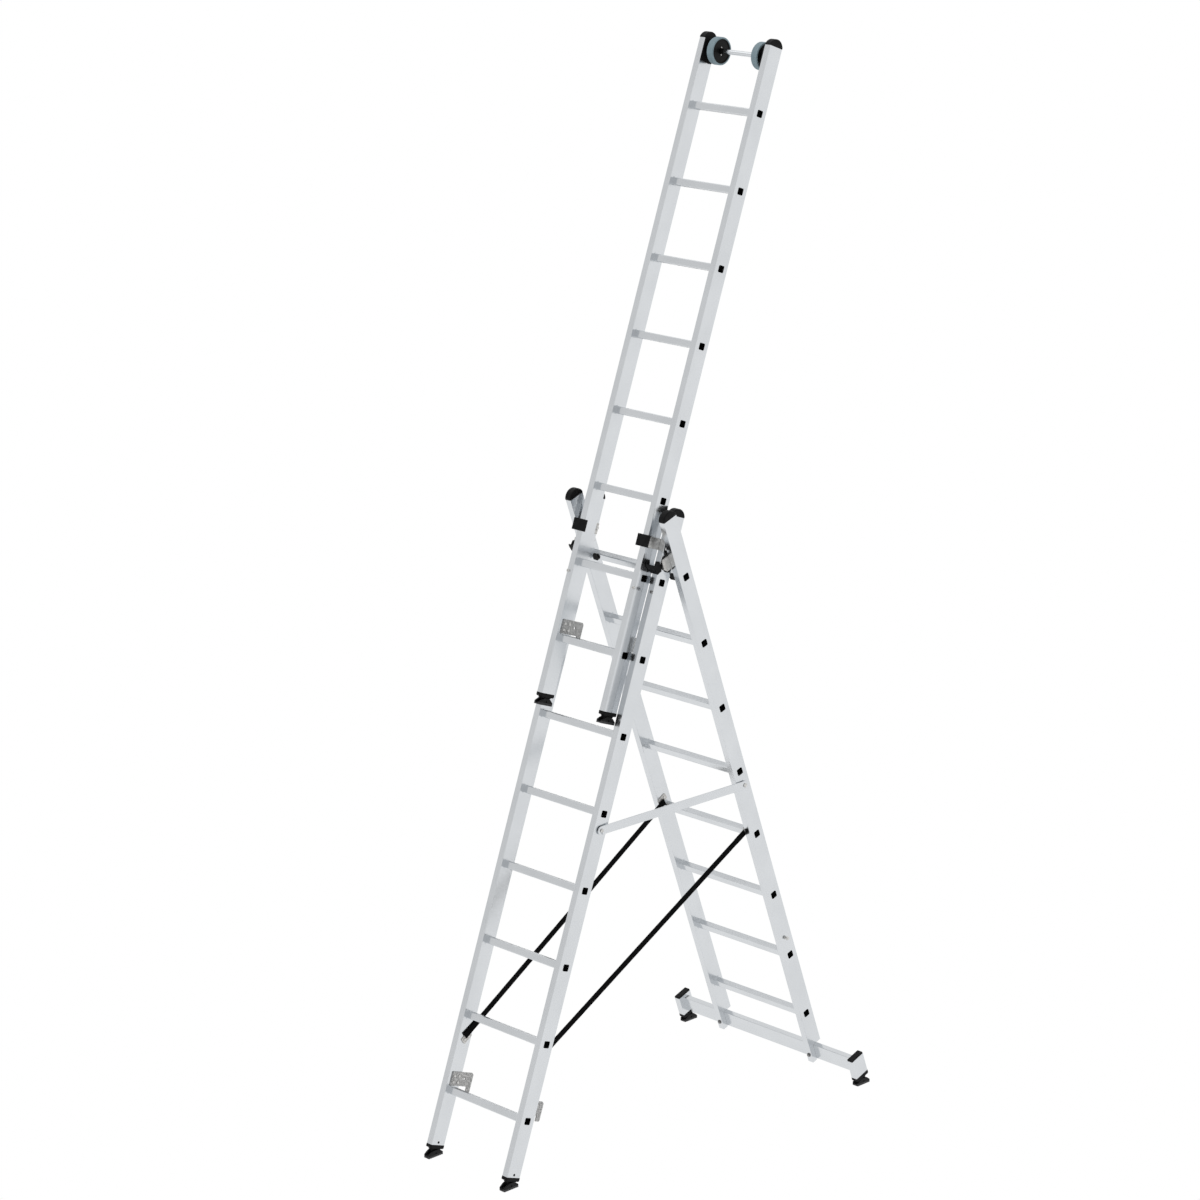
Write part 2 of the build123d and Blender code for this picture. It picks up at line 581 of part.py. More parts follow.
def spreader_rivet():
    """The rivet the bar turns on, with a collar against the rear stile's outer face."""
    pin = Plane(origin=bar_root, z_dir=bar_axis)
    shank = extrude(pin * Circle(STUD_R), amount=BAR_THICKNESS + 1.2) + extrude(pin * Circle(STUD_R), amount=-9)
    over_bar = Plane(origin=bar_root + bar_axis * (BAR_THICKNESS + 0.6), z_dir=bar_axis)
    head = extrude(over_bar * Circle(8), amount=2.4)
    head = fillet(head.edges().filter_by(GeomType.CIRCLE).sort_by(Axis.X)[-1], 1.6)
    collar = extrude(Plane(origin=bar_root - bar_axis * 0.6, z_dir=bar_axis) * Circle(8), amount=-3.2)
    wall = stile_band(rear_frame)
    return shank + head + (collar - wall)


def stile_band(frame):
    """The rear stile's outer wall round the rivet, to trim the collar by."""
    wall = block(rear_outer - STILE_WALL, rear_outer, -30, 30, SPREADER_REAR_Z - 30, SPREADER_REAR_Z + 30)
    return wall.moved(frame)


def stud(face, z, reach):
    """A headed stud on a stile's outer face, for the bar's notch."""
    return (rod_x(face - STILE_WALL - 1, face + reach, 0, z, STUD_R) + rod_x(face, face + 1.5, 0, z, 7.0)
            + domed_head(face + reach, face + reach + 2.5, 0, z, 7.0))


# ---- rollers at the top -------------------------------------------------------------------
ROLLER_R = 50.0
ROLLER_IN, ROLLER_OUT = 93.0, 121.0
AXLE_R = 6.0
ROLLER_Y = 14.0
ROLLER_Z = TOP_RUNG_1 + STILE_ABOVE - 34


def bearing_plate():
    """A black plate on the stile's inner face that holds the axle's end."""
    top = TOP_RUNG_1 + STILE_ABOVE
    plate = block(top_inner - 5, top_inner, -STILE_DEPTH / 2 + 1, STILE_DEPTH / 2 - 1, top - 84, top)
    plate = fillet(plate.edges().filter_by(Axis.X).sort_by(Axis.Z)[:2], 12)
    boss = rod_x(ROLLER_OUT + 2.5, top_inner - 5, ROLLER_Y, ROLLER_Z, 13)
    return plate + boss - rod_x(ROLLER_OUT, top_inner + 1, ROLLER_Y, ROLLER_Z, AXLE_R)


def axle():
    """The cross axle, thicker between the rollers."""
    return (rod_x(-top_inner, top_inner, ROLLER_Y, ROLLER_Z, AXLE_R)
            + rod_x(-ROLLER_IN + 13, ROLLER_IN - 13, ROLLER_Y, ROLLER_Z, 9.0))


def roller_hub():
    """The black wheel centre, flat and slightly sunk on both faces, with a boss towards the middle."""
    rim_r = ROLLER_R - 6
    hub = rod_x(ROLLER_IN + 0.5, ROLLER_OUT - 0.5, ROLLER_Y, ROLLER_Z, rim_r)
    hub -= [rod_x(ROLLER_IN - 1, ROLLER_IN + 2.5, ROLLER_Y, ROLLER_Z, rim_r - 4),
            rod_x(ROLLER_OUT - 2.5, ROLLER_OUT + 1, ROLLER_Y, ROLLER_Z, rim_r - 4)]
    hub += rod_x(ROLLER_IN - 12, ROLLER_OUT, ROLLER_Y, ROLLER_Z, 10)
    return hub - rod_x(0, 200, ROLLER_Y, ROLLER_Z, AXLE_R + RUNNING)


def roller_tyre():
    """The grey tread ring."""
    ring = rod_x(ROLLER_IN, ROLLER_OUT, ROLLER_Y, ROLLER_Z, ROLLER_R)
    ring = fillet(ring.edges().filter_by(GeomType.CIRCLE), 2.5)
    return ring - rod_x(0, 200, ROLLER_Y, ROLLER_Z, ROLLER_R - 6)


# ---- assembly -----------------------------------------------------------------------------
front_rung_8 = rung_levels(FRONT_RUNG_1)[-1]
top_rung_8 = rung_levels(TOP_RUNG_1)[-1]
top_end = top_rung_8 - STILE_BELOW

section("rear", REAR_WIDTH, REAR_RUNG_1, rear_frame, bottom=TONGUE_END, change=shape_rear_stile,
        change_right=drill_outer(rear_outer, [SPREADER_REAR_Z, PARK_Z]))
section("front", FRONT_WIDTH, FRONT_RUNG_1, front_frame, change=shape_front_stile,
        change_right=drill_outer(front_outer, [SPREADER_FRONT_Z]))
section("top", TOP_WIDTH, TOP_RUNG_1, top_frame, change=shape_top_stile)

stabiliser()
feet("rear", END_TUBE_X, END_TUBE_BOTTOM, rear_frame, level=True)
feet("front", (FRONT_WIDTH - STILE_WIDTH) / 2, FRONT_END, front_frame, level=True, cross_pin=True)
feet("top", (TOP_WIDTH - STILE_WIDTH) / 2, top_end, top_frame, level=False)

add("hinge_plates", both_sides(hinge_plate), rear_frame)
add("hinge_bolts", both_sides(hinge_bolt), front_frame)
add("hinge_spacers", both_sides(hinge_spacer), front_frame)
add("fold_buffers", both_sides(fold_buffer), rear_frame)

add("guide_straps", both_sides(guide_strap), front_frame)
add("guide_pads", both_sides(guide_pad), front_frame)
guide_bolts = [b for y, z in guide_bolt_places for b in both_sides(lambda: guide_bolt(y, z))]
add("guide_bolts", guide_bolts, front_frame)
add("side_guides", both_sides(side_guide), front_frame)
add("stop_screws", both_sides(lambda: stop_screw(FRONT_WIDTH)), front_frame)

front_rivets = hooks("front", FRONT_WIDTH, front_rung_8, front_frame)
front_rivets.append(rivet(front_inner - 3, front_inner + STILE_WALL, 0, FRONT_STRAP_Z))
top_rivets = hooks("top", TOP_WIDTH, top_rung_8, top_frame)
top_rivets.append(stop_screw(TOP_WIDTH))
rear_rivets = [flush_rivet(y, z) for y, z in hinge_rivet_places]
rear_rivets.append(rivet(rear_inner - 3, rear_inner + STILE_WALL, 0, REAR_STRAP_Z))
for prefix, rivets, frame in (("front", front_rivets, front_frame), ("top", top_rivets, top_frame),
                              ("rear", rear_rivets, rear_frame)):
    add(prefix + "_rivets", [copy for r in rivets for copy in both_sides(lambda: r)], frame)

add("front_strap_tabs", both_sides(lambda: strap_plate(front_inner, FRONT_STRAP_Z, strap_angle + LEAN_FRONT)),
    front_frame)
add("rear_strap_tabs", both_sides(lambda: strap_plate(rear_inner, REAR_STRAP_Z, strap_angle - LEAN_REAR + 180)),
    rear_frame)
add("strap_left", mirror(strap(), about=Plane.YZ))
add("strap_right", strap())

add("spreader_bar", spreader_bar())
add("spreader_rivet", spreader_rivet())
add("spreader_stud", stud(front_outer, SPREADER_FRONT_Z, 9.5), front_frame)
add("parking_stud", stud(rear_outer, PARK_Z, 9.0), rear_frame)

add("roller_bearing_plates", both_sides(bearing_plate), top_frame)
add("roller_axle", axle(), top_frame)
add("left_roller_hub", mirror(roller_hub(), about=Plane.YZ), top_frame)
add("right_roller_hub", roller_hub(), top_frame)
add("left_roller_tyre", mirror(roller_tyre(), about=Plane.YZ), top_frame)
add("right_roller_tyre", roller_tyre(), top_frame)

os.makedirs("parts", exist_ok=True)
for name, solids in nodes.items():
    export_step(Compound(solids) if len(solids) > 1 else solids[0], f"parts/{name}.step")


def show(label, point):
    print(f"{label}: {point.X:.3f} {point.Y:.3f} {point.Z:.3f}")


show("fold pivot", world_point(front_frame, 0, PIVOT_FRONT_Y, PIVOT_FRONT_Z))
show("fold pivot, rear frame", world_point(rear_frame, 0, PIVOT_REAR_Y, PIVOT_REAR_Z))
show("spreader root", bar_root)
show("spreader axis", bar_axis)
show("roller axle", world_point(top_frame, 0, ROLLER_Y, ROLLER_Z))
show("front foot pin", world_point(front_frame, (FRONT_WIDTH - STILE_WIDTH) / 2, 0, FOOT_LEVEL))
show("rear foot pin", world_point(rear_frame, END_TUBE_X, 0, REAR_FOOT_LEVEL))
show("top foot pin", world_point(top_frame, (TOP_WIDTH - STILE_WIDTH) / 2, 0, top_end - FOOT_DROP))
show("strap low end", strap_low)
show("strap high end", strap_high)
print("spreader length", round(bar_length, 2), "swing", round(math.degrees(math.acos(
    (bar_out - bar_axis * bar_out.dot(bar_axis)).normalized().dot(
        (rear_down - bar_axis * rear_down.dot(bar_axis)).normalized()))), 3))
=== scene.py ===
import math

import bmesh
import bpy
from mathutils import Matrix, Vector


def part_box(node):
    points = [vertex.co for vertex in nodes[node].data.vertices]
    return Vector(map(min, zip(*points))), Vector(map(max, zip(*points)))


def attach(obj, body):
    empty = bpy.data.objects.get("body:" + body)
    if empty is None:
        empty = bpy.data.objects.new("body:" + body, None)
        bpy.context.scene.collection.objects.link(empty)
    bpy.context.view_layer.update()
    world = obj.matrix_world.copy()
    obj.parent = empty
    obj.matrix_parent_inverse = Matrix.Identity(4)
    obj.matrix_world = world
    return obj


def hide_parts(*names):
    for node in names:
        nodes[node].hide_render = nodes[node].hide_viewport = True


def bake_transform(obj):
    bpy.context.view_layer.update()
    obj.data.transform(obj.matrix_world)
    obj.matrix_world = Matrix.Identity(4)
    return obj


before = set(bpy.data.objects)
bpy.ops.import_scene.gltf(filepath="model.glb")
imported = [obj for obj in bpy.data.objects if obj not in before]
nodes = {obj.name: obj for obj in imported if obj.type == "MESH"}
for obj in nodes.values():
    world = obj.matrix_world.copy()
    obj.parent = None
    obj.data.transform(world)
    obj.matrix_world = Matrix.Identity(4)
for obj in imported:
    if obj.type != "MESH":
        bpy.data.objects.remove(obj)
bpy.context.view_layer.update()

# ---- driving values, in metres and degrees -------------------------------------------------
SIDES = ("left", "right")
SECTIONS = ("front", "rear", "top")
LEAN_FRONT = 19.9
LEAN_REAR = 20.1

# Webbing straps. The front end is the low one, and the band climbs from it to the rear end.
STRAP_HALF_WIDTH = 0.0125
STRAP_THICKNESS = 0.0016
STRAP_STATIONS = 150
# Turn about X that lays the webbing's ribs across the band, to within about two degrees.
WEBBING_TURN = -31.9
# The edges waver: share of the width, and radians per metre.
WAVER = 0.02
WAVER_RATE = 37.0
# The band's section, starting at one edge: half widths across, and thicknesses up.
STRAP_PROFILE = [
    (-1.0, 0.0), (-0.985, 0.38), (-0.93, 0.5), (-0.5, 0.5),
    (0.0, 0.5), (0.5, 0.5), (0.93, 0.5), (0.985, 0.38),
    (1.0, 0.0), (0.985, -0.38), (0.93, -0.5), (0.5, -0.5),
    (0.0, -0.5), (-0.5, -0.5), (-0.93, -0.5), (-0.985, -0.38),
]

# Doubled and sewn strap ends. The extra thickness and the lift are in band thicknesses.
LOOP_LENGTH = 0.075
LOOP_EXTRA = 1.4
SEAM_LENGTH = LOOP_LENGTH - 0.012
SEAM_HALF_WIDTH = STRAP_HALF_WIDTH * 0.78
FRONT_SEAM_START = 0.006
REAR_SEAM_INSET = 0.004
STITCH_LIFT = 1.2
STITCH_PITCH = 0.0042
STITCH_HALF_LENGTH = 0.0014
STITCH_HALF_WIDTH = 0.00035
STITCH_HALF_HEIGHT = 0.0003

# Foot pads: the paler sole's height, and the height over which it turns black.
SOLE_BAND = 0.009
SOLE_BLEND = 0.0006

# Screws on the rollers' inner faces. The hub's face lies a little inside the tyre's.
ROLLER_FACE_INSET = 0.0025
ROLLER_SCREW_ANGLES = (85.0, 265.0)
ROLLER_SCREW_CIRCLE = 0.013
ROLLER_SCREW_RADIUS = 0.0028
ROLLER_SCREW_SEGMENTS = 24
# The head from its foot to its top: height over the hub, and share of the radius.
ROLLER_SCREW_HEAD = ((0.0, 1.0), (0.0007, 1.0), (0.0013, 0.8), (0.0016, 0.45))
RECESS_RADIUS = ROLLER_SCREW_RADIUS * 0.45
RECESS_FLOOR = 0.0006
RECESS_ARM = 0.95
RECESS_WAIST = 0.35

# Directions in which the aluminium's die lines run, as stretches of the noise.
LINES_ALONG_X = (3.0, 900.0, 900.0)
LINES_ALONG_Y = (900.0, 3.0, 900.0)
LINES_ALONG_Z = (900.0, 900.0, 3.0)
ALLOY_DARK = (0.635, 0.655, 0.675)
ALLOY_LIGHT = (0.675, 0.695, 0.715)

# Studio and camera.
FLOOR_HALF = 3000.0
WORLD_STRENGTH = 0.95
# Brightness of the surroundings, from straight in front to straight behind.
WORLD_LEVELS = [(0.0, 0.84), (0.25, 0.86), (0.45, 0.98), (1.0, 1.0)]
LIGHT_PLACE = (-1.0, -1.0, 7.5)
LIGHT_AIM = (0.0, 0.0, 2.0)
LIGHT_SIZE = (6.0, 6.0)
LIGHT_POWER = 60.0
CAMERA_PLACE = (8.8612, -8.9458, 5.4656)
CAMERA_YAW = 45.202
CAMERA_PITCH = -15.539
CAMERA_LENS = 109.595
CAMERA_SENSOR = 36.0
CAMERA_CLIP_END = 20000.0

# Places of the colour sockets on a Mix node.
MIX_FACTOR = 0
MIX_FIRST_COLOUR = 6
MIX_SECOND_COLOUR = 7
MIX_COLOUR_RESULT = 2


# ---- material helpers ----------------------------------------------------------------------
def set_stops(color_ramp, stops):
    """Give a colour ramp its stops, each a position and a colour."""
    elements = color_ramp.elements
    while len(elements) < len(stops):
        elements.new(0.5)
    for element, (position, colour) in zip(elements, stops):
        element.position = position
        element.color = (*colour, 1.0)


class Nodes:
    """A short way to build one material's node tree."""

    def __init__(self, name):
        self.material = bpy.data.materials.new(name)
        self.material.use_nodes = True
        self.tree = self.material.node_tree
        self.shader = self.tree.nodes["Principled BSDF"]

    def add(self, kind, **settings):
        node = self.tree.nodes.new(kind)
        for key, value in settings.items():
            setattr(node, key, value)
        return node

    def link(self, source, target):
        self.tree.links.new(source, target)

    def drive(self, target, source):
        """Link a socket to one of the shader's inputs."""
        self.link(source, self.shader.inputs[target])

    def set(self, **values):
        """Set inputs of the shader itself, with _ for each space in their names."""
        for key, value in values.items():
            self.shader.inputs[key.replace("_", " ")].default_value = value

    def coordinates(self, turn_x=0.0, scale=(1.0, 1.0, 1.0)):
        """Object coordinates, turned about X by degrees and then stretched."""
        place = self.add("ShaderNodeTexCoord")
        turn = self.add("ShaderNodeMapping")
        turn.inputs["Rotation"].default_value = (math.radians(turn_x), 0.0, 0.0)
        self.link(place.outputs["Object"], turn.inputs["Vector"])
        stretch = self.add("ShaderNodeMapping")
        stretch.inputs["Scale"].default_value = scale
        self.link(turn.outputs["Vector"], stretch.inputs["Vector"])
        return stretch.outputs["Vector"]

    def noise(self, vector, scale, detail, roughness):
        node = self.add("ShaderNodeTexNoise")
        node.inputs["Scale"].default_value = scale
        node.inputs["Detail"].default_value = detail
        node.inputs["Roughness"].default_value = roughness
        self.link(vector, node.inputs["Vector"])
        return node.outputs["Fac"]

    def ramp(self, factor, stops):
        node = self.add("ShaderNodeValToRGB")
        set_stops(node.color_ramp, stops)
        self.link(factor, node.inputs["Fac"])
        return node.outputs["Color"]

    def spread(self, factor, low, high):
        """Map 0..1 to low..high."""
        node = self.add("ShaderNodeMapRange")
        node.inputs["To Min"].default_value = low
        node.inputs["To Max"].default_value = high
        self.link(factor, node.inputs["Value"])
        return node.outputs["Result"]

    def bump(self, height, strength, distance):
        node = self.add("ShaderNodeBump")
        node.inputs["Strength"].default_value = strength
        node.inputs["Distance"].default_value = distance
        self.link(height, node.inputs["Height"])
        return node.outputs["Normal"]

    def moulded_grain(self, place):
        """The fine spark-eroded grain of moulded plastic and rubber."""
        skin = self.noise(place, scale=900.0, detail=2.0, roughness=0.5)
        self.drive("Normal", self.bump(skin, strength=0.35, distance=0.00025))


def extruded_aluminium(name, turn_x, lines, rough_low, rough_high):
    """Bright extrusion: fine die lines along the profile and very faint handling clouds."""
    m = Nodes(name)
    die_lines = m.noise(m.coordinates(turn_x, lines), scale=1.0, detail=4.0, roughness=0.6)
    clouds = m.noise(m.coordinates(turn_x), scale=7.0, detail=3.0, roughness=0.55)
    m.drive("Base Color", m.ramp(clouds, [(0.3, ALLOY_DARK), (0.7, ALLOY_LIGHT)]))
    m.drive("Roughness", m.spread(die_lines, rough_low, rough_high))
    m.drive("Normal", m.bump(die_lines, strength=0.08, distance=0.0002))
    m.set(Metallic=1.0)
    return m.material


def moulded_plastic(name, colour, worn, roughness, specular):
    """Moulded plastic with a fine grain and slight scuffs."""
    m = Nodes(name)
    place = m.coordinates()
    scuffs = m.noise(place, scale=38.0, detail=5.0, roughness=0.6)
    m.drive("Base Color", m.ramp(scuffs, [(0.42, colour), (0.72, worn)]))
    m.drive("Roughness", m.spread(scuffs, roughness - 0.06, roughness + 0.1))
    m.moulded_grain(place)
    m.set(Specular_IOR_Level=specular)
    return m.material


def foot_rubber(name, turn_x, sole_level):
    """A black pad whose sole, up to the sole band's height, is a paler worn rubber."""
    m = Nodes(name)
    place = m.coordinates(turn_x)
    split = m.add("ShaderNodeSeparateXYZ")
    m.link(place, split.inputs["Vector"])
    sole = m.add("ShaderNodeMapRange")
    sole.inputs["From Min"].default_value = sole_level + SOLE_BAND
    sole.inputs["From Max"].default_value = sole_level + SOLE_BAND - SOLE_BLEND
    m.link(split.outputs["Z"], sole.inputs["Value"])
    scuffs = m.noise(place, scale=60.0, detail=5.0, roughness=0.6)
    upper = m.ramp(scuffs, [(0.42, (0.004, 0.004, 0.0045)), (0.72, (0.01, 0.01, 0.011))])
    lower = m.ramp(scuffs, [(0.3, (0.026, 0.026, 0.027)), (0.75, (0.055, 0.055, 0.057))])
    mix = m.add("ShaderNodeMix", data_type="RGBA")
    m.link(sole.outputs["Result"], mix.inputs[MIX_FACTOR])
    m.link(upper, mix.inputs[MIX_FIRST_COLOUR])
    m.link(lower, mix.inputs[MIX_SECOND_COLOUR])
    m.drive("Base Color", mix.outputs[MIX_COLOUR_RESULT])
    m.drive("Roughness", m.spread(scuffs, 0.42, 0.6))
    m.moulded_grain(place)
    m.set(Specular_IOR_Level=0.15)
    return m.material


def zinc_plate(name, dark, light, roughness):
    """Galvanised metal: small crystals with an uneven grey cast."""
    m = Nodes(name)
    place = m.coordinates()
    cells = m.add("ShaderNodeTexVoronoi")
    cells.inputs["Scale"].default_value = 210.0
    m.link(place, cells.inputs["Vector"])
    speckle = m.noise(place, scale=420.0, detail=4.0, roughness=0.7)
    mix = m.add("ShaderNodeMix", data_type="FLOAT")
    mix.inputs["Factor"].default_value = 0.6
    m.link(cells.outputs["Distance"], mix.inputs["A"])
    m.link(speckle, mix.inputs["B"])
    crystals = mix.outputs["Result"]
    m.drive("Base Color", m.ramp(crystals, [(0.32, dark), (0.62, light)]))
    m.drive("Roughness", m.spread(speckle, roughness - 0.1, roughness + 0.14))
    m.drive("Normal", m.bump(crystals, strength=0.2, distance=0.0003))
    m.set(Metallic=0.9)
    return m.material


def tyre_tread(name):
    """Soft grey tread with a fine matte skin."""
    m = Nodes(name)
    place = m.coordinates()
    patches = m.noise(place, scale=60.0, detail=4.0, roughness=0.6)
    skin = m.noise(place, scale=1200.0, detail=2.0, roughness=0.5)
    m.drive("Base Color", m.ramp(patches, [(0.3, (0.15, 0.21, 0.24)), (0.75, (0.2, 0.27, 0.3))]))
    m.drive("Roughness", m.spread(patches, 0.55, 0.72))
    m.drive("Normal", m.bump(skin, strength=0.3, distance=0.0003))
    return m.material


def webbing(name, turn_x):
    """Tightly woven polyester: faint ribs across the band and a dusty bloom on the yarns."""
    m = Nodes(name)
    place = m.coordinates(turn_x)
    ribs = m.add("ShaderNodeTexWave", bands_direction="Y")
    ribs.inputs["Scale"].default_value = 420.0
    m.link(place, ribs.inputs["Vector"])
    bloom = m.noise(place, scale=45.0, detail=4.0, roughness=0.6)
    stops = [(0.35, (0.0022, 0.0022, 0.0024)), (0.75, (0.0045, 0.0045, 0.005))]
    m.drive("Base Color", m.ramp(bloom, stops))
    m.drive("Normal", m.bump(ribs.outputs["Fac"], strength=0.15, distance=0.0002))
    m.set(Roughness=0.9, Specular_IOR_Level=0.05)
    return m.material


# ---- materials -----------------------------------------------------------------------------
FRONT_METAL = extruded_aluminium("aluminium_front", LEAN_FRONT, LINES_ALONG_Z, 0.13, 0.24)
REAR_METAL = extruded_aluminium("aluminium_rear", -LEAN_REAR, LINES_ALONG_Z, 0.13, 0.24)
FRONT_CROSS_METAL = extruded_aluminium("aluminium_front_cross", LEAN_FRONT, LINES_ALONG_X, 0.12, 0.22)
REAR_CROSS_METAL = extruded_aluminium("aluminium_rear_cross", -LEAN_REAR, LINES_ALONG_X, 0.12, 0.22)
SPREADER_METAL = extruded_aluminium("aluminium_spreader", 0.0, LINES_ALONG_Y, 0.2, 0.32)
BLACK = moulded_plastic(
    "black_plastic",
    colour=(0.0035, 0.0035, 0.0038),
    worn=(0.009, 0.009, 0.0095),
    roughness=0.45,
    specular=0.09,
)
PLUG = moulded_plastic(
    "plug_plastic",
    colour=(0.0008, 0.0008, 0.0008),
    worn=(0.002, 0.002, 0.002),
    roughness=0.6,
    specular=0.0,
)
HUB = moulded_plastic(
    "hub_plastic",
    colour=(0.003, 0.003, 0.003),
    worn=(0.007, 0.007, 0.0075),
    roughness=0.4,
    specular=0.12,
)
ZINC = zinc_plate("zinc_plate", dark=(0.3, 0.295, 0.285), light=(0.62, 0.61, 0.59), roughness=0.3)
HOOK_ZINC = zinc_plate("zinc_hook_plate", dark=(0.14, 0.141, 0.14), light=(0.47, 0.47, 0.465), roughness=0.34)
STEEL = zinc_plate("zinc_fastener", dark=(0.42, 0.42, 0.41), light=(0.68, 0.675, 0.66), roughness=0.26)
# A much darker copy of the fastener zinc for the stabiliser bolts and stop screws: the darkening is painted
# shade.
SHADED_BOLT = zinc_plate("zinc_bolt_painted_shade", dark=(0.1, 0.1, 0.1), light=(0.3, 0.3, 0.3), roughness=0.3)
TYRE = tyre_tread("grey_tread")


def paint(material, *names):
    for name in names:
        obj = nodes[name]
        obj.data.materials.clear()
        obj.data.materials.append(material)


def lowest(name, turn_x):
    """A node's lowest level, measured along Z after turning it about X."""
    turn = Matrix.Rotation(math.radians(turn_x), 3, "X")
    return min((turn @ v.co).z for v in nodes[name].data.vertices)


# The front and rear pads stand flat on the floor, and the top ones hang square to their stiles.
PAD_TURNS = (("front", 0.0), ("rear", 0.0), ("top", LEAN_FRONT))

for side in SIDES:
    paint(FRONT_METAL, "front_stile_" + side, "top_stile_" + side)
    paint(REAR_METAL, "rear_stile_" + side)
    paint(HUB, side + "_roller_hub")
    paint(TYRE, side + "_roller_tyre")
    for section, turn_x in PAD_TURNS:
        name = f"{section}_{side}_foot_pad"
        paint(foot_rubber(name, turn_x, lowest(name, turn_x)), name)
paint(REAR_METAL, "stabiliser_end_tubes")
paint(FRONT_CROSS_METAL, "front_rungs", "top_rungs", "roller_axle")
paint(REAR_CROSS_METAL, "rear_rungs", "stabiliser_bar")
paint(SPREADER_METAL, "spreader_bar")
for section in SECTIONS:
    paint(PLUG, section + "_rung_plugs", section + "_foot_pins")
    paint(BLACK, section + "_stile_caps", section + "_foot_sockets")
    paint(STEEL, section + "_rivets")
paint(BLACK, "stabiliser_end_caps", "fold_buffers", "hinge_spacers", "guide_pads", "side_guides")
paint(BLACK, "roller_bearing_plates")
paint(ZINC, "hinge_plates", "guide_straps", "front_strap_tabs", "rear_strap_tabs")
paint(HOOK_ZINC, "front_hook_plates", "top_hook_plates")
paint(STEEL, "hinge_bolts", "guide_bolts", "spreader_rivet", "spreader_stud", "parking_stud")
# The stabiliser bolts and stop screws get the darker zinc with painted shade.
paint(SHADED_BOLT, "stabiliser_bolts", "stop_screws")


# ---- mesh helpers --------------------------------------------------------------------------
def add_object(name, data):
    added = bpy.data.objects.new(name, data)
    bpy.context.scene.collection.objects.link(added)
    return added


def bridge(bm, rings):
    """Join each ring of vertices to the next one with a band of quads."""
    for first, second in zip(rings, rings[1:]):
        for i in range(len(first)):
            j = (i + 1) % len(first)
            bm.faces.new((first[i], first[j], second[j], second[i]))


def close_ends(bm, rings):
    bm.faces.new(rings[0][::-1])
    bm.faces.new(rings[-1])


def finish_mesh(bm, name):
    mesh = bpy.data.meshes.new(name)
    bm.to_mesh(mesh)
    bm.free()
    return mesh


# ---- the two webbing straps ----------------------------------------------------------------
def strap_ends(node):
    """The two end points of a strap's plain CAD band, front end first."""
    points = [v.co.copy() for v in nodes[node].data.vertices]
    front = sorted(points, key=lambda p: p.y)[:4]
    rear = sorted(points, key=lambda p: -p.y)[:4]
    return sum(front, Vector()) / 4, sum(rear, Vector()) / 4


def band_stations(length):
    """Stations along the band: distance from the front end, and thickness there."""
    stations = []
    for i in range(STRAP_STATIONS + 1):
        at = length * i / STRAP_STATIONS
        edge = min(at, length - at)
        doubled = 1.0 if edge < LOOP_LENGTH else 0.0
        stations.append((at, STRAP_THICKNESS * (1.0 + LOOP_EXTRA * doubled)))
    return stations


def make_strap(side):
    """A band with doubled, sewn ends in place of one plain CAD strap."""
    front_end, rear_end = strap_ends("strap_" + side)
    along = (rear_end - front_end).normalized()
    normal = (Vector((1, 0, 0)) - along * along.x).normalized()
    edge = normal.cross(along)
    length = (rear_end - front_end).length
    bm = bmesh.new()
    rings = []
    for at, thick in band_stations(length):
        centre = front_end + along * at
        wide = STRAP_HALF_WIDTH * (1.0 - WAVER * math.sin(at * WAVER_RATE) ** 2)
        ring = []
        for u, v in STRAP_PROFILE:
            ring.append(bm.verts.new(centre + edge * (u * wide) + normal * (v * thick)))
        rings.append(ring)
    bridge(bm, rings)
    close_ends(bm, rings)
    for start in (FRONT_SEAM_START, length - LOOP_LENGTH + REAR_SEAM_INSET):
        add_stitches(bm, front_end, along, edge, normal, start)
    bmesh.ops.recalc_face_normals(bm, faces=bm.faces)
    mesh = finish_mesh(bm, "webbing_" + side)
    for polygon in mesh.polygons:
        polygon.use_smooth = True
    mesh.materials.append(WEBBING)
    strap = add_object("webbing_strap_" + side, mesh)
    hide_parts("strap_" + side)
    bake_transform(strap)


def add_stitches(bm, origin, along, edge, normal, start):
    """A sewn box with a cross in it, on both faces of the doubled end."""
    end = start + SEAM_LENGTH
    half = SEAM_HALF_WIDTH
    corners = [(start, -half), (end, -half), (end, half), (start, half)]
    runs = [(corners[i], corners[(i + 1) % 4]) for i in range(4)]
    runs += [(corners[0], corners[2]), (corners[1], corners[3])]
    lift = STRAP_THICKNESS * STITCH_LIFT
    for (a0, w0), (a1, w1) in runs:
        run = Vector((a1 - a0, w1 - w0))
        count = max(2, int(run.length / STITCH_PITCH))
        step = run / count
        unit = run.normalized()
        heading = along * unit.x + edge * unit.y
        across = normal.cross(heading)
        long = heading * STITCH_HALF_LENGTH
        wide = across * STITCH_HALF_WIDTH
        tall = normal * STITCH_HALF_HEIGHT
        for k in range(count):
            place = Vector((a0, w0)) + step * (k + 0.5)
            for face in (-1, 1):
                centre = origin + along * place.x + edge * place.y + normal * (face * lift)
                stitch(bm, centre, long, wide, tall)


def stitch(bm, centre, long, wide, tall):
    """One short thread, tapered at both ends and diamond-shaped across."""
    rings = []
    for shift, size in ((-1.0, 0.3), (-0.6, 1.0), (0.6, 1.0), (1.0, 0.3)):
        middle = centre + long * shift
        ring = []
        for c, s in ((1, 0), (0, 1), (-1, 0), (0, -1)):
            ring.append(bm.verts.new(middle + wide * (size * c) + tall * (size * s)))
        rings.append(ring)
    bridge(bm, rings)
    close_ends(bm, rings)


WEBBING = webbing("black_webbing", WEBBING_TURN)
for side in SIDES:
    make_strap(side)


